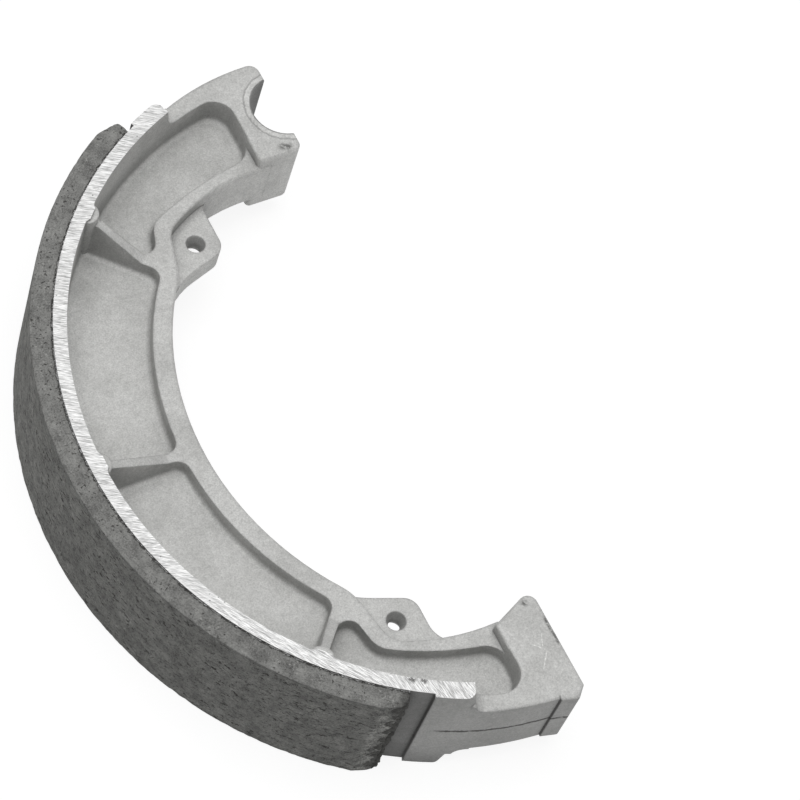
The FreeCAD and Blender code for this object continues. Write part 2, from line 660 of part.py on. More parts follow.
pocket_depth = "(Sizes.shoe_width - Sizes.web_width) / 2 + Sizes.overlap"
for number, outline in enumerate([pin_pocket, middle_pocket(1, 2), middle_pocket(2, 3), cam_pocket], start=1):
    name = "pocket_%d" % number
    curves = outline.curves()
    pocket_sketch = plan_sketch(casting, name + "_plan", curves, "Sizes.web_width / 2")
    pocket = hollow(casting, name, pocket_sketch, pocket_depth, "Sizes.mould_draft")
    rounded(casting, name + "_floor", pocket, edges_on(pocket, curves, web_half), "Sizes.pocket_fillet")

# Ejector bosses: half-round columns on the rim's inner wall

for number, place in enumerate(rib_places, start=1):
    boss = [Part.Circle(polar(boss_distance, place), upwards, size("boss_radius"))]
    pad(casting, "boss_%d" % number, plan_sketch(casting, "boss_%d_plan" % number, boss), "Sizes.boss_top")

# Lining seat: turned a little below the raw casting, from shoulder to shoulder

seat_section = [
    (seat_radius, -overlap),
    (raw_radius + overlap, -overlap),
    (raw_radius + overlap, half_width + overlap),
    (seat_radius, half_width + overlap),
]
seat_sketch = section_sketch(casting, "seat_section", seat_section, "Sizes.seat_start")
turned(casting, "PartDesign::Groove", "lining_seat", seat_sketch, "Sizes.seat_end - Sizes.seat_start")

# Pin seat: a half-round notch, chamfered at the face of its block

pin_circle = [Part.Circle(pin_hole, upwards, size("pin_seat_radius"))]
hollow(casting, "pin_seat", plan_sketch(casting, "pin_seat_plan", pin_circle), "Sizes.block_width")
chamfer_plan = plan_sketch(casting, "pin_seat_chamfer_plan", pin_circle,
                           "Sizes.block_width / 2 - Sizes.pin_seat_chamfer")
hollow(casting, "pin_seat_chamfer", chamfer_plan, "2 * Sizes.pin_seat_chamfer", "-45")

whole(casting)

# Spring holes: tapered from each face of the ear to a short straight throat

mouth_depth = "Sizes.web_width / 2 - Sizes.spring_throat_length / 2"
mouth_taper = "-atan((Sizes.spring_mouth_radius - Sizes.spring_throat_radius) / (%s))" % mouth_depth
for name, hole in (("pin_spring", pin_spring_hole), ("cam_spring", cam_spring_hole)):
    mouth = [Part.Circle(hole, upwards, size("spring_mouth_radius"))]
    throat = [Part.Circle(hole, upwards, size("spring_throat_radius"))]
    upper_plan = plan_sketch(casting, name + "_upper_plan", mouth, "Sizes.web_width / 2")
    upper = hollow(casting, name + "_upper_mouth", upper_plan, mouth_depth, mouth_taper)
    upper.Reversed = False
    lower_plan = plan_sketch(casting, name + "_lower_plan", mouth, "-Sizes.web_width / 2")
    hollow(casting, name + "_lower_mouth", lower_plan, mouth_depth, mouth_taper)
    throat_plan = plan_sketch(casting, name + "_throat_plan", throat, "-Sizes.web_width / 2")
    hollow(casting, name + "_throat", throat_plan, "Sizes.web_width")

# Friction lining: a curved block bonded to the seat, with a lead-in at each end

lining = doc.addObject("PartDesign::Body", "friction_lining")
lining.Label = "friction_lining"
lining_half = half_width - size("lining_margin")
lining_section = [
    (seat_radius, 0),
    (drum_radius, 0),
    (drum_radius, lining_half),
    (seat_radius, lining_half),
]
lining_sketch = section_sketch(lining, "lining_section", lining_section, "Sizes.lining_start")
turned(lining, "PartDesign::Revolution", "lining_block", lining_sketch, "Sizes.lining_end - Sizes.lining_start")


def lead_in(name, angle, inwards):
    """Cuts a flat wedge off one end of the lining."""
    reach = angle + size("lead_in_angle") * inwards
    past = angle - size("lead_in_angle") * inwards
    clear_of_lining = drum_radius + size("lining_thickness")
    worn = drum_radius - size("lead_in_depth")
    wedge = Outline(polar(worn, angle))
    wedge.line(polar(drum_radius, reach))
    wedge.line(polar(clear_of_lining, reach))
    wedge.line(polar(clear_of_lining, past))
    wedge.line(polar(worn, past))
    wedge.line(wedge.start)
    hollow(lining, name, plan_sketch(lining, name + "_plan", wedge.curves()), "Sizes.shoe_width")


lead_in("pin_lead_in", size("lining_start"), 1)
lead_in("cam_lead_in", size("lining_end"), -1)
whole(lining)

# The two pieces share the drum's centre, and the anchor pin's axis is the origin

for body in (casting, lining):
    body.setExpression("Placement.Base.y", "Sizes.pin_inset - Sizes.drum_radius")
doc.recompute()

for feature in doc.Objects:
    if "Invalid" in feature.State or "Error" in feature.State:
        raise RuntimeError("%s is %s" % (feature.Label, feature.State))
for body in (casting, lining):
    if body.Shape.isNull() or not body.Shape.isValid() or len(body.Shape.Solids) != 1:
        raise RuntimeError("%s is not one sound solid" % body.Label)
    body.Shape.exportStep("parts/%s.step" % body.Label)
    print(body.Label, round(body.Shape.Volume), "cubic millimetres")
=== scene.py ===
import math

import bpy
from mathutils import Matrix, Vector, noise


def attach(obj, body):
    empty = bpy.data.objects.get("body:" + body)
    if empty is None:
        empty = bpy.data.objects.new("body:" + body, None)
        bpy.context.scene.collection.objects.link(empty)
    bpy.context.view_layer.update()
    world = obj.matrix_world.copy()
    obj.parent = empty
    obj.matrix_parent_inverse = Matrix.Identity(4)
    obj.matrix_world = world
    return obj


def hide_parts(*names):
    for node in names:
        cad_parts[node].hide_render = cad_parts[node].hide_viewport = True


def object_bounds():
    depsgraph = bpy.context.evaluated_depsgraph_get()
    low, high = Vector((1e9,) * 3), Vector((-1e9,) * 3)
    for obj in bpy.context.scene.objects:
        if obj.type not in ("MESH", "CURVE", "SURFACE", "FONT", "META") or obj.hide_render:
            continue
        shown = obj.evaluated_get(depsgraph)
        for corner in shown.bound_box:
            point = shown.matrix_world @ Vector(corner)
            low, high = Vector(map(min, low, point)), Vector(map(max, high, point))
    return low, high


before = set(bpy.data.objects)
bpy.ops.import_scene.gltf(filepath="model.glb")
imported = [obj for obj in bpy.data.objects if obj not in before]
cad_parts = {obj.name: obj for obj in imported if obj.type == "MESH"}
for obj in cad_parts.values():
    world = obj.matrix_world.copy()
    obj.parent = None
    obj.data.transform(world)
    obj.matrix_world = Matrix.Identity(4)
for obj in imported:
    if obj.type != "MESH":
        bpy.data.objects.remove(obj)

CAD_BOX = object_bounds()

bl_info = {
    "name": "Drum brake shoe",
    "version": (1, 0, 0),
    "blender": (4, 2, 0),
    "location": "3D View > Sidebar > Brake Shoe",
    "description": "Finishes a cast brake shoe and its bonded lining, and lights it on a pale floor",
    "category": "Object",
}

MM = 0.001

# The shoe lies on its lower rim edge, and the drum's centre is below the anchor pin along -Y
DRUM_CENTRE_Y = -65 * MM
FLOOR_HEIGHT = CAD_BOX[0].z

# The lining and its lead-ins. Places round the drum are angles in degrees, counted from the pin
LINING_INNER_RADIUS = 75.5 * MM
LINING_OUTER_RADIUS = 80 * MM
LINING_HALF_WIDTH = 14.75 * MM
LINING_START = 28.0
LINING_END = 148.8
LEAD_IN_LENGTH = 5.45 * MM
LEAD_IN_DEPTH = 1.3 * MM
END_ROUNDING = 0.9 * MM

# How many faces the lining has round the drum, across its width and outwards
FACES_ROUND = 300
FACES_ACROSS = 56
FACES_OUTWARDS = 8

# The casting: where its turned seat ends and the raised band by the cam begins, then radii and heights
SEAT_START = 27.1
SEAT_END = 151.98
CAM_BAND = 171.85
RAW_RADIUS = 76.2 * MM
RIDGE_RADIUS = 57 * MM
PIN_SEAT_RADIUS = 7.1 * MM
PIN_LIP_RADIUS = 8.5 * MM
RIM_HALF_WIDTH = 15 * MM
BLOCK_HALF_WIDTH = 8.8 * MM
FOOT_HEIGHT = 4.2 * MM

# Where the parting line fades in on each arm
CAM_ARM = (153.5, 156)
PIN_ARM = (26, 23)

# Sanding of the rim edges: the direction of the scratches in plan, and where round the drum this sanding
# begins, is full, begins to fade and is gone
SANDING = (
    (-24, -20, 0, 105, 125),
    (-50, 105, 125, 142, 148),
    (-78, 142, 148, 200, 220),
)

# Marks in plan, in millimetres. A spot has a middle and a size, and a stroke a start, an end and a width
DEEP_PITS = (((-38.3, -127.5), 1.1), ((-36.3, -128.5), 1.0))
SMUDGE = (((-5.0, -9.1), 1.4), ((-3.7, -9.6), 1.5))
CAM_END_DIMPLE = ((-7.7, -119.5), 1.2)
WORN_EDGE = ((-5.5, -122.6), (-5.4, -130.5), 0.6)
HAIR_SCRATCHES = (
    ((-10.9, -127.4), (-8.3, -129.9), 0.2),
    ((-8.3, -129.9), (-11.2, -133.6), 0.2),
    ((-8.9, -129.3), (-7.4, -125.9), 0.16),
)

FLOOR_REACH = 3.0
LAMP_SIZE = 0.7
LAMP_PLACE = (-0.12, 0.0, 0.8)
LAMP_TARGET = (-0.03, -0.065, 0)


class ShoeSizes(bpy.types.PropertyGroup):
    """Sizes of the marks and grain on the shoe."""

    blast_grain: bpy.props.FloatProperty(
        name="Blast grain", description="Size of the dimples that bead blasting leaves",
        default=0.32 * MM, min=0.02 * MM, unit="LENGTH")
    scratch_spacing: bpy.props.FloatProperty(
        name="Scratch spacing", description="Typical distance between sanding scratches on the rim edge",
        default=0.13 * MM, min=0.02 * MM, unit="LENGTH")
    lining_crumb: bpy.props.FloatProperty(
        name="Lining crumb", description="Size of the crumbs in the friction material",
        default=0.35 * MM, min=0.05 * MM, unit="LENGTH")
    parting_line_width: bpy.props.FloatProperty(
        name="Parting line", description="Width of the line where the mould halves met",
        default=0.4 * MM, min=0.02 * MM, unit="LENGTH")
    casting_relief: bpy.props.FloatProperty(
        name="Casting relief", description="Depth of the dimples and marks on the casting",
        default=0.05 * MM, min=0, unit="LENGTH")
    casting_rounding: bpy.props.FloatProperty(
        name="Casting rounding", description="How far the casting's sharp edges look rounded",
        default=0.7 * MM, min=0, unit="LENGTH")
    lining_relief: bpy.props.FloatProperty(
        name="Lining relief", description="Depth of the crumbs and voids in the lining",
        default=0.12 * MM, min=0, unit="LENGTH")
    lining_rounding: bpy.props.FloatProperty(
        name="Lining rounding", description="How far the lining's sharp edges look rounded",
        default=0.5 * MM, min=0, unit="LENGTH")


class ShoeColours(bpy.types.PropertyGroup):
    """Colours of the casting and the lining."""

    casting: bpy.props.FloatVectorProperty(
        name="Casting", description="Bead-blasted aluminium", subtype="COLOR", size=3,
        default=(0.6, 0.6, 0.588), min=0, max=1)
    casting_shade: bpy.props.FloatVectorProperty(
        name="Casting, dull", description="Duller areas of the casting", subtype="COLOR", size=3,
        default=(0.52, 0.52, 0.508), min=0, max=1)
    turned: bpy.props.FloatVectorProperty(
        name="Rim edge", description="Bright turned and sanded metal", subtype="COLOR", size=3,
        default=(0.66, 0.66, 0.655), min=0, max=1)
    # Used for dark residue in marks, and also for painted shadow at the steps of the seat
    dirt_and_shade: bpy.props.FloatVectorProperty(
        name="Dirt", description="Dark residue in lines and dents", subtype="COLOR", size=3,
        default=(0.035, 0.034, 0.03), min=0, max=1)
    # The working face's colour is lighter than the edges' partly as painted light, since the face turns away
    # from the lamp
    lining_edge: bpy.props.FloatVectorProperty(
        name="Lining edge", description="Ground edges of the friction material", subtype="COLOR", size=3,
        default=(0.28, 0.28, 0.27), min=0, max=1)
    lining_face: bpy.props.FloatVectorProperty(
        name="Lining face", description="Working face of the friction material", subtype="COLOR", size=3,
        default=(0.36, 0.36, 0.345), min=0, max=1)
    lining_crumb: bpy.props.FloatVectorProperty(
        name="Pale crumbs", description="Pale crumbs and fibres in the friction material", subtype="COLOR",
        size=3, default=(0.5, 0.5, 0.48), min=0, max=1)


class StageSettings(bpy.types.PropertyGroup):
    """Camera, floor and light."""

    lens: bpy.props.FloatProperty(
        name="Lens", description="Focal length of the camera", default=143.2, min=20, unit="CAMERA")
    camera_distance: bpy.props.FloatProperty(
        name="Camera distance", description="From the camera to the point it looks at",
        default=637.4 * MM, unit="LENGTH")
    camera_azimuth: bpy.props.FloatProperty(
        name="Camera azimuth", description="Direction of the camera, seen from above",
        default=math.radians(-47.74), subtype="ANGLE")
    camera_elevation: bpy.props.FloatProperty(
        name="Camera elevation", description="Height of the camera above the horizon",
        default=math.radians(57.85), subtype="ANGLE")
    camera_roll: bpy.props.FloatProperty(
        name="Camera roll", description="Turn of the picture", default=math.radians(23.26), subtype="ANGLE")
    camera_target: bpy.props.FloatVectorProperty(
        name="Camera target", description="The point that the camera looks at", size=3,
        default=(-5.59 * MM, -67.26 * MM, 0), subtype="TRANSLATION", unit="LENGTH")
    lamp_power: bpy.props.FloatProperty(
        name="Lamp", description="Power of the lamp overhead", default=3.3, min=0, subtype="POWER")
    sky: bpy.props.FloatProperty(
        name="Surroundings", description="Light from all round", default=0.25, min=0)
    floor_colour: bpy.props.FloatVectorProperty(
        name="Floor", description="Colour of the floor", subtype="COLOR", size=3,
        default=(0.25, 0.25, 0.25), min=0, max=1)
    floor_glow: bpy.props.FloatProperty(
        name="Floor whiteness", description="What the floor adds to its own colour in the picture",
        default=0.87, min=0)


# Shader maths: a number that varies over a surface, with ordinary operators

class Field:
    """A number that varies over a surface. Expressions on fields add Math nodes to the graph."""

    def __init__(self, graph, socket):
        self.graph = graph
        self.socket = socket

    def math(self, operation, *others):
        sockets = dict(enumerate((self, *others)))
        made = self.graph.node("ShaderNodeMath", {"operation": operation}, sockets)
        return Field(self.graph, made.outputs[0])

    def __add__(self, other):
        return self.math("ADD", other)

    __radd__ = __add__

    def __sub__(self, other):
        return self.math("SUBTRACT", other)

    def __rsub__(self, other):
        made = self.graph.node("ShaderNodeMath", {"operation": "SUBTRACT"}, {0: other, 1: self})
        return Field(self.graph, made.outputs[0])

    def __mul__(self, other):
        return self.math("MULTIPLY", other)

    __rmul__ = __mul__

    def __truediv__(self, other):
        return self.math("DIVIDE", other)

    def __pow__(self, other):
        return self.math("POWER", other)

    def __abs__(self):
        return self.math("ABSOLUTE")

    def largest(self, other):
        return self.math("MAXIMUM", other)

    def smallest(self, other):
        return self.math("MINIMUM", other)

    def angle_over(self, other):
        """The angle whose tangent is this field over the other."""
        return self.math("ARCTAN2", other)

    def rise(self, low, high):
        """0 below low, 1 above high, and smooth between; with low over high it falls instead."""
        if low > high:
            return 1 - self.rise(high, low)
        settings = {"interpolation_type": "SMOOTHSTEP"}
        sockets = {"Value": self, "From Min": low, "From Max": high}
        return Field(self.graph, self.graph.node("ShaderNodeMapRange", settings, sockets).outputs[0])

    def near(self, place, width):
        """1 at a place, falling to 0 at a distance of width."""
        return abs(self - place).rise(width, 0)


class Graph:
    """The nodes of a material or of the surroundings."""

    def __init__(self, tree):
        self.tree = tree
        tree.nodes.clear()

    def node(self, kind, settings=None, sockets=None):
        """Adds a node: its settings first, then the values or links of its sockets."""
        made = self.tree.nodes.new(kind)
        for name, value in (settings or {}).items():
            setattr(made, name, value)
        for name, value in (sockets or {}).items():
            self.feed(made.inputs[name], value)
        return made

    def feed(self, socket, value):
        """Gives a socket a plain value, or a link from a field or from another socket."""
        if isinstance(value, Field):
            value = value.socket
        if isinstance(value, bpy.types.NodeSocket):
            self.tree.links.new(value, socket)
        else:
            socket.default_value = value

    def white_rays(self):
        """1 for what the camera sees directly, in a gloss or through glass, and 0 for light on things."""
        path = self.node("ShaderNodeLightPath").outputs
        kinds = ("Is Camera Ray", "Is Glossy Ray", "Is Transmission Ray")
        return sum(Field(self, path[kind]) for kind in kinds).smallest(1)

    def switched(self, lighting, seen):
        """One shader for the light that falls on things, and another for what is seen."""
        sockets = {0: self.white_rays(), 1: lighting.outputs[0], 2: seen.outputs[0]}
        return self.node("ShaderNodeMixShader", {}, sockets).outputs[0]


class Finish(Graph):
    """A material whose surface values are worked out from places on the shoe."""

    def __init__(self, name):
        self.material = bpy.data.materials.new(name)
        self.material.use_nodes = True
        super().__init__(self.material.node_tree)
        self.shader = self.node("ShaderNodeBsdfPrincipled")
        self.node("ShaderNodeOutputMaterial", {}, {"Surface": self.shader.outputs[0]})
        self.place = self.node("ShaderNodeTexCoord").outputs["Object"]
        split = self.node("ShaderNodeSeparateXYZ", {}, {0: self.place})
        self.x, self.y, self.z = (Field(self, socket) for socket in split.outputs)
        from_centre = self.y - DRUM_CENTRE_Y
        self.radius = (self.x * self.x + from_centre * from_centre) ** 0.5
        self.angle = (self.x * -1).angle_over(from_centre) * (180 / math.pi)
        self.height = abs(self.z)

    def noise(self, size, detail=2.0, roughness=0.5, place=None):
        """Cloudy variation from 0 to 1, whose lumps are about a size across."""
        sockets = {"Vector": place or self.place, "Scale": 1 / size, "Detail": detail, "Roughness": roughness}
        return Field(self, self.node("ShaderNodeTexNoise", {}, sockets).outputs[0])

    def crumbs(self, size):
        """Distance to the middle of the nearest crumb, in crumb sizes."""
        sockets = {"Vector": self.place, "Scale": 1 / size}
        return Field(self, self.node("ShaderNodeTexVoronoi", {"feature": "F1"}, sockets).outputs["Distance"])

    def openness(self, reach):
        """1 where nothing of the surface is within reach, and less in corners."""
        made = self.node("ShaderNodeAmbientOcclusion", {"samples": 8}, {"Distance": reach})
        return Field(self, made.outputs["AO"])

    def steepness(self):
        """1 on walls, and 0 on faces that lie level."""
        facing = self.node("ShaderNodeNewGeometry").outputs["Normal"]
        upwards = self.node("ShaderNodeSeparateXYZ", {}, {0: facing}).outputs[2]
        return abs(Field(self, upwards)).rise(0.8, 0.3)

    def at(self, x, y, z):
        """A place put together from three fields."""
        return self.node("ShaderNodeCombineXYZ", {}, {0: x, 1: y, 2: z}).outputs[0]

    def round_drum(self, stretch):
        """The place, with a degree round the drum counted as a length, for grain drawn out that way."""
        return self.at(self.angle * stretch, self.radius, self.z)

    def grain(self, direction, stretch):
        """The place, drawn out along a direction in plan, for scratches and fibres."""
        turn = math.radians(direction)
        along = self.x * math.cos(turn) + self.y * math.sin(turn)
        across = self.y * math.cos(turn) - self.x * math.sin(turn)
        return self.at(along * (1 / stretch), across, self.z)

    def spot(self, place, size):
        """1 in the middle of a spot in plan, falling to 0 at its edge, given in millimetres."""
        from_x = self.x - place[0] * MM
        from_y = self.y - place[1] * MM
        return ((from_x * from_x + from_y * from_y) ** 0.5).rise(size * MM, 0)

    def stroke(self, start, end, width):
        """1 along a thin scratch between two places in plan, given in millimetres."""
        start_x, start_y = (value * MM for value in start)
        end_x, end_y = (value * MM for value in end)
        length = math.hypot(end_x - start_x, end_y - start_y)
        along_x = (end_x - start_x) / length
        along_y = (end_y - start_y) / length
        from_x = self.x - start_x
        from_y = self.y - start_y
        along = from_x * along_x + from_y * along_y
        across = from_y * along_x - from_x * along_y
        inside = (along - length / 2).near(0, length / 2)
        return across.near(0, width * MM) * inside.rise(0, 0.3)

    def colour(self, amount, first, second):
        """The first colour where the amount is 0, and the second where it is 1."""
        settings = {"data_type": "RGBA", "blend_type": "MIX"}
        sockets = {0: amount, 6: as_colour(first), 7: as_colour(second)}
        return self.node("ShaderNodeMix", settings, sockets).outputs[2]

    def shaded(self, colour, amount):
        """A colour made darker or brighter by a field."""
        grey = self.at(amount, amount, amount)
        settings = {"data_type": "RGBA", "blend_type": "MULTIPLY"}
        return self.node("ShaderNodeMix", settings, {0: 1.0, 6: as_colour(colour), 7: grey}).outputs[2]

    def set(self, name, value):
        """Gives one of the shader's own sockets its value."""
        self.feed(self.shader.inputs[name], value)

    def soft_edges(self, radius, crisp):
        """The surface's direction with sharp edges rounded off, except where crisp is 1."""
        soft = self.node("ShaderNodeBevel", {"samples": 6}, {"Radius": radius}).outputs[0]
        plain = self.node("ShaderNodeNewGeometry").outputs["Normal"]
        return self.node("ShaderNodeMix", {"data_type": "VECTOR"}, {0: crisp, 4: soft, 5: plain}).outputs[1]

    def relief(self, height, depth, direction):
        """Raised and sunken detail: a field, how deep a step of 1 in it is, and the surface's direction."""
        sockets = {"Height": height, "Distance": depth, "Strength": 1.0, "Normal": direction}
        self.set("Normal", self.node("ShaderNodeBump", {}, sockets).outputs[0])


def as_colour(value):
    return value if isinstance(value, bpy.types.NodeSocket) else (*value, 1)


def sanding(finish, spacing):
    """Scratches of the sanded rim edges, whose direction turns on the way from the pin to the cam."""
    total = 0
    for direction, start, full, falling, gone in SANDING:
        here = finish.angle.rise(start, full) * finish.angle.rise(gone, falling)
        fine = finish.noise(spacing, 3, 0.7, finish.grain(direction, 14))
        coarse = finish.noise(spacing * 1.9, 2, 0.6, finish.grain(direction - 11, 14))
        total = (fine.rise(0.35, 0.65) * 0.65 + coarse.rise(0.35, 0.65) * 0.35) * here + total
    return total


def rim_pits(finish):
    """Pits in the rim edges that the sanding didn't reach: scattered small ones and two deep ones."""
    patches = finish.noise(4 * MM, 2).rise(0.5, 0.62)
    scattered = finish.crumbs(1.1 * MM).rise(0.18, 0.08) * patches
    deep = sum(finish.spot(*pit) for pit in DEEP_PITS) * finish.noise(0.6 * MM, 2).rise(0.38, 0.55)
    return (scattered + deep * 1.6).smallest(1)


def parting_line(finish, width):
    """A thin dark wavy line round the outside of both arms, broken here and there."""
    wave = (finish.noise(7 * MM, 1) - 0.5) * (1.6 * MM)
    ragged = (finish.noise(0.5 * MM, 2) - 0.5) * (0.5 * MM)
    local_width = width * (0.6 + finish.noise(1.2 * MM, 1) * 1.4)
    line = (abs(finish.z - wave - ragged) / local_width).rise(1, 0.3)
    on_arms = finish.angle.rise(*CAM_ARM) + finish.angle.rise(*PIN_ARM) * 0.5
    return line * on_arms.smallest(1) * finish.noise(2.5 * MM, 2).rise(0.22, 0.32)


def seat_step_shadows(finish):
    """Painted shadow lines at the steps at both ends of the lining's seat, and of the raised band by the cam.
    """
    steps = finish.angle.near(SEAT_END, 0.28) + finish.angle.near(CAM_BAND, 0.25)
    steps = steps + finish.angle.near(SEAT_START, 0.2) * 0.3
    return steps * finish.height.rise(RIM_HALF_WIDTH - 0.4 * MM, RIM_HALF_WIDTH - 0.8 * MM)


def casting_finish(sizes, colours):
    """Bead-blasted casting with bright sanded rim edges, a parting line and a few dents, and painted shade
    and light on its corners and sides.
    """
    finish = Finish("bead_blasted_casting")
    dimples = finish.noise(sizes.blast_grain, 3, 0.7)
    coarse_dimples = finish.noise(sizes.blast_grain * 3, 2, 0.6)
    clouds = finish.noise(9 * MM, 4, 0.55)
    blotches = finish.noise(1.6 * MM, 3, 0.6)
    raw = finish.colour(clouds.rise(0.35, 0.7), colours.casting, colours.casting_shade)
    raw = finish.shaded(raw, 0.25 + dimples * 1.0 + coarse_dimples * 0.32 + blotches * 0.18)

    # Painted shade darkens the corners, and darkens the sheltered pocket walls more than the open faces
    corners = finish.openness(2.2 * MM).rise(0.92, 0.3)
    sheltered = finish.openness(9 * MM).rise(0.98, 0.62)
    steep = finish.steepness()
    raw = finish.shaded(raw, 1 - corners * 0.3 - sheltered * steep * 0.35)

    # A painted shade line runs round each pocket where its wall meets the rounding along the floor, with a
    # painted highlight on the rounding just below it
    in_pocket = corners.rise(0.04, 0.25)
    foot_shade = finish.height.near(FOOT_HEIGHT, 0.5 * MM) * in_pocket * (0.4 + blotches)
    crest_highlight = finish.height.near(FOOT_HEIGHT - 0.7 * MM, 0.3 * MM) * in_pocket
    raw = finish.shaded(raw, 1 - foot_shade * 0.35 + crest_highlight * 0.2)

    # Painted light brightens the shoe's open inner sides and painted shade darkens its outer sides, and the
    # turned seat is the darkest
    outside = finish.radius.rise(RAW_RADIUS - 1.6 * MM, RAW_RADIUS - 1.0 * MM)
    inside = finish.radius.rise(RIDGE_RADIUS + 0.5 * MM, RIDGE_RADIUS - 0.5 * MM) * (1 - sheltered * 0.6)
    on_seat = finish.angle.rise(SEAT_START - 0.2, SEAT_START + 0.1)
    on_seat = on_seat * finish.angle.rise(SEAT_END + 0.12, SEAT_END - 0.18)
    seat = abs(finish.radius - LINING_INNER_RADIUS).rise(0.3 * MM, 0.15 * MM) * on_seat
    raw = finish.shaded(raw, 1 + inside * steep * 0.3 - outside * steep * 0.22 - seat * 0.3)

    # The edges of the rim are sanded bright
    scratches = sanding(finish, sizes.scratch_spacing)
    sanded = finish.height.rise(RIM_HALF_WIDTH - 0.06 * MM, RIM_HALF_WIDTH - 0.02 * MM)
    bright = finish.shaded(colours.turned, 0.45 + scratches * 1.25 + blotches * 0.1)
    bright = finish.colour(rim_pits(finish) * 0.8, bright, colours.dirt_and_shade)
    surface = finish.colour(sanded, raw, bright)

    # The pin seat is dark with old grease, and has a rough lip set off by a thin groove
    from_pin = (finish.x * finish.x + finish.y * finish.y) ** 0.5
    bore = from_pin.rise(PIN_SEAT_RADIUS + 0.3 * MM, PIN_SEAT_RADIUS + 0.1 * MM)
    from_pin = from_pin - (blotches - 0.5) * (0.7 * MM)
    lip = from_pin.rise(PIN_LIP_RADIUS - 0.1 * MM, PIN_LIP_RADIUS - 0.3 * MM)
    lip = lip * finish.height.rise(BLOCK_HALF_WIDTH - 1.0 * MM, BLOCK_HALF_WIDTH - 0.6 * MM)
    groove = from_pin.near(PIN_LIP_RADIUS, 0.25 * MM)
    groove = groove * finish.height.rise(BLOCK_HALF_WIDTH - 0.4 * MM, BLOCK_HALF_WIDTH - 0.2 * MM)
    surface = finish.shaded(surface, 1 + lip * (blotches - 0.35) * 0.5 - groove * 0.3 - bore * 0.45)

    # The tops of the two ends have hair scratches, and dents and a worn edge that are drawn dark
    block_top = abs(finish.height - BLOCK_HALF_WIDTH).rise(0.8 * MM, 0.3 * MM)
    hairs = sum(finish.stroke(*hair) for hair in HAIR_SCRATCHES) * finish.noise(0.7 * MM, 1).rise(0.3, 0.45)
    surface = finish.shaded(surface, 1 + (hairs * block_top).smallest(1) * 0.4)
    mottle = finish.noise(0.8 * MM, 3, 0.6).rise(0.38, 0.55)
    dents = (finish.spot(*CAM_END_DIMPLE) + finish.stroke(*WORN_EDGE)) * mottle
    dents = dents + sum(finish.spot(*spot) for spot in SMUDGE).smallest(1) * (0.3 + mottle * 0.7)
    parting = parting_line(finish, sizes.parting_line_width) * outside
    # Painted shadow lines darken the outer face at the steps of the seat and of the band by the cam
    step_shadows = seat_step_shadows(finish) * outside * (0.5 + blotches * 0.6)
    dirt_and_shade = (parting * 0.9).largest((dents * block_top).smallest(1) * 0.75)
    dirt_and_shade = dirt_and_shade.largest(step_shadows.smallest(1) * 0.75)

    finish.set("Base Color", finish.colour(dirt_and_shade, surface, colours.dirt_and_shade))
    finish.set("Metallic", 0.42)
    finish.set("Roughness", 0.62 - sanded * 0.1 + dimples * 0.1)
    relief = dimples + coarse_dimples + blotches * 0.8 + clouds * 0.5 - parting * 2.5 + lip * 2 - groove
    relief = relief * (1 - sanded) + scratches * sanded * 0.4
    finish.relief(relief, sizes.casting_relief, finish.soft_edges(sizes.casting_rounding, sanded))
    return finish.material


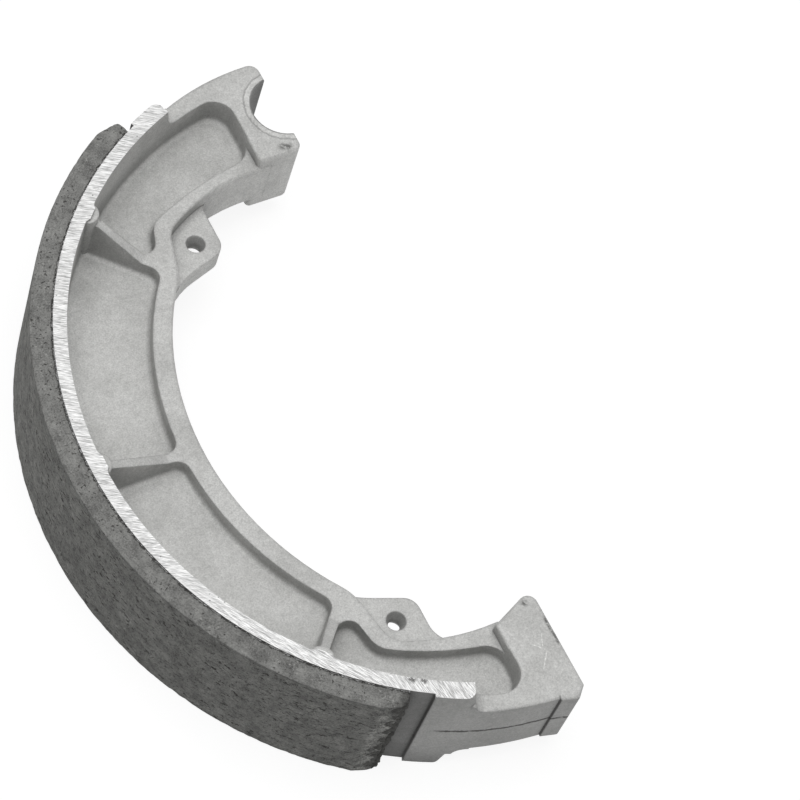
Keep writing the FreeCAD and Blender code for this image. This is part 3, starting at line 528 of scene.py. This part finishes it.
def lining_finish(sizes, colours):
    """Moulded friction material: dark, matt and crumbly, with pale crumbs and black voids."""
    finish = Finish("moulded_friction_lining")
    crumb = sizes.lining_crumb
    mottle = finish.noise(crumb * 8, 6, 0.8)
    edge = finish.height + (mottle - 0.5) * (1.6 * MM)
    edge = edge.rise(LINING_HALF_WIDTH - 0.75 * MM, LINING_HALF_WIDTH - 0.15 * MM)
    fine = finish.noise(crumb, 3, 0.7)
    streaks = finish.noise(crumb * 1.5, 3, 0.65, finish.round_drum(0.3 * MM))
    clusters = finish.noise(crumb * 20, 2, 0.6)
    # The working face is given a lighter colour than the edges, partly as painted light, since the face turns
    # away from the lamp
    ground = finish.colour(edge, colours.lining_face, colours.lining_edge)
    ground = finish.shaded(ground, mottle * 2.6 + fine * 1.3 + streaks * 0.8 + clusters * 0.7 - 1.7)

    # Voids are drawn out round the drum on the working face, and round on the edges, in clusters on both
    drawn_out = finish.round_drum(0.65 * MM)
    long_voids = finish.noise(crumb * 2.4, 3, 0.75, drawn_out).rise(0.59, 0.63) * clusters.rise(0.34, 0.54)
    short_voids = finish.noise(crumb * 1.4, 2, 0.6, drawn_out).rise(0.62, 0.66)
    round_voids = finish.noise(crumb * 2, 2, 0.6).rise(0.6, 0.65) * clusters.rise(0.38, 0.58)
    voids = (long_voids * 0.95).largest(short_voids * 0.65) * (1 - edge)
    voids = voids.largest(round_voids * edge * 0.85)
    surface = finish.colour(voids, ground, colours.dirt_and_shade)

    # Pale crumbs lie in patches, and thin pale fibres everywhere
    pale = finish.noise(crumb * 1.3, 1).rise(0.65, 0.7) * finish.noise(crumb * 12, 1).rise(0.48, 0.6)
    fibres = finish.noise(crumb * 0.8, 1, 0.5, finish.grain(35, 9)).rise(0.72, 0.78)
    surface = finish.colour((pale * 0.8).largest(fibres * 0.35), surface, colours.lining_crumb)

    # The end by the cam is crumbled and dark, and its lead-in is a little paler in patches
    ragged = finish.noise(2.4 * MM, 3, 0.55) - 0.5
    cam_end = (finish.angle + ragged * 7).rise(LINING_END - 2.4, LINING_END - 1.6) * (1 - edge * 0.5)
    lead_in = (finish.angle + ragged * 3).rise(LINING_END - 4.5, LINING_END - 3.5) * (1 - edge)
    surface = finish.shaded(surface, 1 + lead_in * mottle.rise(0.35, 0.6) * 0.7)

    # A dark broken line runs where the lining meets the casting, with bright burrs
    junction_edge = (finish.noise(0.8 * MM, 4, 0.75) - 0.42) * (1.7 * MM)
    junction_line = (finish.radius - junction_edge).rise(LINING_INNER_RADIUS + 0.3 * MM, LINING_INNER_RADIUS)
    burr_edge = (finish.noise(0.5 * MM, 3, 0.7, finish.grain(-40, 2)) - 0.45) * (1.3 * MM)
    burrs = (finish.radius - burr_edge).rise(LINING_INNER_RADIUS + 0.1 * MM, LINING_INNER_RADIUS) * edge
    surface = finish.colour((junction_line * 0.9).largest(cam_end * 0.85), surface, colours.dirt_and_shade)

    finish.set("Base Color", finish.colour(burrs, surface, colours.turned))
    finish.set("Roughness", 0.82 + mottle * 0.12)
    relief = mottle * 0.6 + fine * 0.8 + streaks * 0.6 - voids * 1.5 - junction_line * 1.5 - cam_end * 1.2
    finish.relief(relief, sizes.lining_relief, finish.soft_edges(sizes.lining_rounding, 0.0))
    return finish.material


def lumps(x, y, z, size, seed):
    """Cloudy variation from -1 to 1 at a place, for shapes rather than colours."""
    falloff, spread, layers = 0.9, 2.0, 3
    return noise.fractal(Vector((x / size, y / size, z / size + seed)), falloff, spread, layers)


def lining_surface(sizes):
    """The places and faces of the lining: a curved block whose surface and edges are crumbled inwards."""
    places = []
    numbers = {}
    for i in range(FACES_ROUND + 1):
        for j in range(FACES_ACROSS + 1):
            for k in range(FACES_OUTWARDS + 1):
                if i in (0, FACES_ROUND) or j in (0, FACES_ACROSS) or k in (0, FACES_OUTWARDS):
                    numbers[i, j, k] = len(places)
                    share = (i / FACES_ROUND, j / FACES_ACROSS, k / FACES_OUTWARDS)
                    places.append(lining_place(sizes, share))
    faces = []

    def patch(count_1, count_2, corner, flip):
        for a in range(count_1):
            for b in range(count_2):
                ring = [corner(a, b), corner(a + 1, b), corner(a + 1, b + 1), corner(a, b + 1)]
                ring = [numbers[key] for key in ring]
                faces.append(ring[::-1] if flip else ring)

    patch(FACES_ROUND, FACES_ACROSS, lambda a, b: (a, b, FACES_OUTWARDS), True)
    patch(FACES_ROUND, FACES_ACROSS, lambda a, b: (a, b, 0), False)
    patch(FACES_ROUND, FACES_OUTWARDS, lambda a, b: (a, FACES_ACROSS, b), False)
    patch(FACES_ROUND, FACES_OUTWARDS, lambda a, b: (a, 0, b), True)
    patch(FACES_ACROSS, FACES_OUTWARDS, lambda a, b: (FACES_ROUND, a, b), True)
    patch(FACES_ACROSS, FACES_OUTWARDS, lambda a, b: (0, a, b), False)
    return places, faces


def closeness(distance, reach):
    """1 at an edge or a face, falling to 0 at a distance of reach."""
    return max(0, 1 - distance / reach)


def lining_place(sizes, share):
    """One place on the lining, from its share of the way round, across and outwards."""
    start = math.radians(LINING_START)
    end = math.radians(LINING_END)
    angle = start + (end - start) * share[0]
    arc_left = min(angle - start, end - angle) * LINING_OUTER_RADIUS
    on_lead_in = closeness(arc_left, LEAD_IN_LENGTH)
    outer = LINING_OUTER_RADIUS - on_lead_in * LEAD_IN_DEPTH
    radius = LINING_INNER_RADIUS + (outer - LINING_INNER_RADIUS) * share[2]
    z = (share[1] * 2 - 1) * LINING_HALF_WIDTH
    x = -math.sin(angle) * radius
    y = math.cos(angle) * radius
    rough = 0.5 + 0.5 * lumps(x, y, z, sizes.lining_crumb * 4, 0)
    chips = max(0, lumps(x, y, z, sizes.lining_crumb * 5, 31) + 0.2)
    near_side = closeness(LINING_HALF_WIDTH - abs(z), 1.0 * MM)
    near_face = closeness(outer - radius, 1.0 * MM)
    near_end = closeness(arc_left, 1.2 * MM)
    near_bond = closeness(radius - LINING_INNER_RADIUS, 0.7 * MM)
    by_cam = 1.0 if angle > (start + end) / 2 else 0.4

    # Faces are a little rough, and edges where two faces meet are chipped
    loss = near_face * (0.04 * MM * rough + near_side * chips * 0.06 * MM)
    loss += near_face * near_end * chips * by_cam * 1.1 * MM
    side_loss = near_side * (0.06 * MM * rough + (near_face + near_bond * 0.6) * chips * 0.18 * MM)
    end_loss = near_end * (0.2 * MM + (0.5 * rough + 0.9 * chips) * by_cam * MM)

    # The outer corner of each end is rounded
    corner = max(0, END_ROUNDING - (outer - radius))
    end_loss += (END_ROUNDING - math.sqrt(END_ROUNDING ** 2 - corner ** 2)) * on_lead_in
    radius = max(radius - loss * share[2], LINING_INNER_RADIUS)
    z -= math.copysign(min(side_loss, abs(z)), z)
    angle += (end_loss if angle < (start + end) / 2 else -end_loss) / LINING_OUTER_RADIUS
    return (-math.sin(angle) * radius, DRUM_CENTRE_Y + math.cos(angle) * radius, z)


def put_on(node, material):
    """Gives a solid of the frame its finish."""
    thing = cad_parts[node]
    thing.data.materials.clear()
    thing.data.materials.append(material)


class SHOE_OT_finish_casting(bpy.types.Operator):
    """Gives the casting its bead-blasted and sanded finish"""

    bl_idname = "shoe.finish_casting"
    bl_label = "Finish the casting"

    def execute(self, context):
        scene = context.scene
        put_on("shoe_casting", casting_finish(scene.shoe_sizes, scene.shoe_colours))
        return {"FINISHED"}


class SHOE_OT_mould_lining(bpy.types.Operator):
    """Makes the friction lining, with its crumbled edges and its moulded finish"""

    bl_idname = "shoe.mould_lining"
    bl_label = "Mould the lining"

    def execute(self, context):
        scene = context.scene
        mesh = bpy.data.meshes.new("moulded_lining")
        places, faces = lining_surface(scene.shoe_sizes)
        mesh.from_pydata(places, [], faces)
        mesh.shade_smooth()
        mesh.set_sharp_from_angle(angle=math.radians(50))
        mesh.materials.append(lining_finish(scene.shoe_sizes, scene.shoe_colours))
        lining = bpy.data.objects.new("moulded_lining", mesh)
        scene.collection.objects.link(lining)
        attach(lining, "root")
        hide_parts("friction_lining")
        return {"FINISHED"}


class SHOE_OT_set_stage(bpy.types.Operator):
    """Adds the floor, the lamp, the surroundings and the camera"""

    bl_idname = "shoe.set_stage"
    bl_label = "Set the stage"

    def execute(self, context):
        settings = context.scene.shoe_stage
        add_floor(settings)
        add_lamp(settings)
        set_surroundings(context.scene, settings)
        add_camera(context.scene, settings)
        context.scene.view_settings.view_transform = "Standard"
        return {"FINISHED"}


def add_floor(settings):
    """A pale floor that looks white and keeps the shoe's shadow."""
    corners = [(-FLOOR_REACH, -FLOOR_REACH, 0), (FLOOR_REACH, -FLOOR_REACH, 0)]
    corners += [(FLOOR_REACH, FLOOR_REACH, 0), (-FLOOR_REACH, FLOOR_REACH, 0)]
    mesh = bpy.data.meshes.new("floor")
    mesh.from_pydata(corners, [], [(0, 1, 2, 3)])
    floor = bpy.data.objects.new("floor", mesh)
    floor.location.z = FLOOR_HEIGHT
    bpy.context.scene.collection.objects.link(floor)
    material = bpy.data.materials.new("pale_floor")
    material.use_nodes = True
    graph = Graph(material.node_tree)
    surface = {"Base Color": (*settings.floor_colour, 1), "Roughness": 0.9, "Specular IOR Level": 0.0}
    shader = graph.node("ShaderNodeBsdfPrincipled", {}, surface)
    dark = graph.node("ShaderNodeEmission", {}, {"Strength": 0.0})
    glow = graph.node("ShaderNodeEmission", {}, {"Strength": settings.floor_glow})
    both = graph.node("ShaderNodeAddShader", {}, {0: shader.outputs[0], 1: graph.switched(dark, glow)})
    graph.node("ShaderNodeOutputMaterial", {}, {"Surface": both.outputs[0]})
    mesh.materials.append(material)


def add_lamp(settings):
    """One large soft lamp overhead, on the lining's side and towards the pin end."""
    light = bpy.data.lights.new("overhead_lamp", "AREA")
    light.shape = "SQUARE"
    light.size = LAMP_SIZE
    light.energy = settings.lamp_power
    lamp = bpy.data.objects.new("overhead_lamp", light)
    lamp.location = LAMP_PLACE
    aim = Vector(LAMP_TARGET) - lamp.location
    lamp.rotation_euler = aim.to_track_quat("-Z", "Y").to_euler()
    bpy.context.scene.collection.objects.link(lamp)


def set_surroundings(scene, settings):
    """A dim even light from all round, which looks white behind the shoe."""
    world = bpy.data.worlds.new("surroundings")
    world.use_nodes = True
    graph = Graph(world.node_tree)
    white = (1, 1, 1, 1)
    light = graph.node("ShaderNodeBackground", {}, {"Color": white, "Strength": settings.sky})
    backdrop = graph.node("ShaderNodeBackground", {}, {"Color": white, "Strength": 1.0})
    graph.node("ShaderNodeOutputWorld", {}, {"Surface": graph.switched(light, backdrop)})
    scene.world = world


def add_camera(scene, settings):
    """The camera looks down over the lining, and is turned about its own line of sight."""
    azimuth = settings.camera_azimuth
    elevation = settings.camera_elevation
    back = Vector((
        math.sin(azimuth) * math.cos(elevation),
        -math.cos(azimuth) * math.cos(elevation),
        math.sin(elevation)))
    level = Vector((math.cos(azimuth), math.sin(azimuth), 0))
    upright = back.cross(level)
    roll = settings.camera_roll
    right = level * math.cos(roll) + upright * math.sin(roll)
    up = upright * math.cos(roll) - level * math.sin(roll)
    lens = bpy.data.cameras.new("camera")
    lens.sensor_width = 36
    lens.lens = settings.lens
    lens.clip_start = 0.01
    lens.clip_end = 20
    camera = bpy.data.objects.new("camera", lens)
    turn = Matrix((right, up, back)).transposed().to_4x4()
    place = Vector(settings.camera_target) + back * settings.camera_distance
    camera.matrix_world = Matrix.Translation(place) @ turn
    scene.collection.objects.link(camera)
    scene.camera = camera


class SHOE_PT_panel(bpy.types.Panel):
    """Lists the steps that finish and light the shoe"""

    bl_idname = "SHOE_PT_panel"
    bl_label = "Brake Shoe"
    bl_space_type = "VIEW_3D"
    bl_region_type = "UI"
    bl_category = "Brake Shoe"

    def draw(self, context):
        layout = self.layout
        for step in STEPS:
            layout.operator(step.bl_idname)
        for group in (context.scene.shoe_sizes, context.scene.shoe_colours, context.scene.shoe_stage):
            for name in group.__annotations__:
                layout.prop(group, name)


STEPS = (SHOE_OT_finish_casting, SHOE_OT_mould_lining, SHOE_OT_set_stage)
GROUPS = {"shoe_sizes": ShoeSizes, "shoe_colours": ShoeColours, "shoe_stage": StageSettings}


def register():
    for group in GROUPS.values():
        bpy.utils.register_class(group)
    for step in STEPS:
        bpy.utils.register_class(step)
    bpy.utils.register_class(SHOE_PT_panel)
    for name, group in GROUPS.items():
        setattr(bpy.types.Scene, name, bpy.props.PointerProperty(type=group))


def unregister():
    for name in GROUPS:
        delattr(bpy.types.Scene, name)
    bpy.utils.unregister_class(SHOE_PT_panel)
    for step in reversed(STEPS):
        bpy.utils.unregister_class(step)
    for group in GROUPS.values():
        bpy.utils.unregister_class(group)


def main():
    register()
    bpy.ops.shoe.finish_casting()
    bpy.ops.shoe.mould_lining()
    bpy.ops.shoe.set_stage()


if __name__ == "__main__":
    main()
